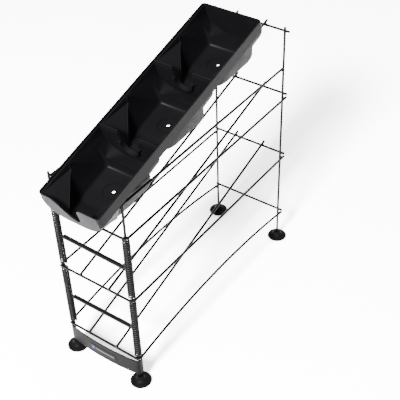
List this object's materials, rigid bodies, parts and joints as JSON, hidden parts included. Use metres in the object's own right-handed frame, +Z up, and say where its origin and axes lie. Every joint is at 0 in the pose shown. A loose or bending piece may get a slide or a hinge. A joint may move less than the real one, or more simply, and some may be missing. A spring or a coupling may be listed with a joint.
{
  "type": "paint rack organizer",
  "caption": "Black wire gravity-feed rack for paint bottles with spring-held stop bars at the front, sloping floor wires and a sloping three-bin tray on top.",
  "frame": {"origin": "on the ground under the middle of the whole object's box", "axes": "+X to the right seen from the front, -Y towards the front where bottles are taken out, +Z up"},
  "size_m": [0.1506, 0.4312, 0.4363],
  "materials": {
    "black_coating": "gloss black powder coat on steel wire",
    "spring_steel": "black coated spring wire, satin",
    "tray_plastic": "fine satin moulded plastic",
    "plate_plastic": "satin sheet plastic",
    "foot_rubber": "satin rubber",
    "label_paper": "plain printed label"
  },
  "bodies": {
    "frame": {"blank_label": "label_paper", "floor_wire_low_left": "black_coating", "floor_wire_low_right": "black_coating", "floor_wire_mid_left": "black_coating", "floor_wire_mid_right": "black_coating", "foot_front_left": "foot_rubber", "foot_front_right": "foot_rubber", "foot_rear_left": "foot_rubber", "foot_rear_right": "foot_rubber", "front_left_post": "black_coating", "front_right_post": "black_coating", "front_rod_high": "black_coating", "front_rod_low": "black_coating", "front_rod_mid": "black_coating", "label_plate": "plate_plastic", "left_rail_high": "black_coating", "left_rail_low": "black_coating", "left_rail_mid": "black_coating", "left_rail_top": "black_coating", "rear_left_leg": "black_coating", "rear_right_leg": "black_coating", "rear_rod_high": "black_coating", "rear_rod_low": "black_coating", "rear_rod_mid": "black_coating", "rear_rod_top": "black_coating", "right_rail_high": "black_coating", "right_rail_low": "black_coating", "right_rail_mid": "black_coating", "right_rail_top": "black_coating", "spring_high_left": "spring_steel", "spring_high_right": "spring_steel", "spring_low_left": "spring_steel", "spring_low_right": "spring_steel", "tray_carrier_left": "black_coating", "tray_carrier_right": "black_coating"},
    "lower_bar": {"stop_bar_low": "black_coating"},
    "upper_bar": {"stop_bar_high": "black_coating"},
    "bin_tray": {"tray": "tray_plastic"}
  },
  "joints": [
    {"name": "lower_bar_slide", "type": "slide", "parent": "frame", "child": "lower_bar", "axis": [0, 0, 1], "range_m": [-0.044, 0.035]},
    {"name": "upper_bar_slide", "type": "slide", "parent": "frame", "child": "upper_bar", "axis": [0, 0, 1], "range_m": [-0.041, 0.035]},
    {"name": "tray_lift", "type": "slide", "parent": "frame", "child": "bin_tray", "axis": [0, 0, 1], "range_m": [0, 0.12]}
  ]
}
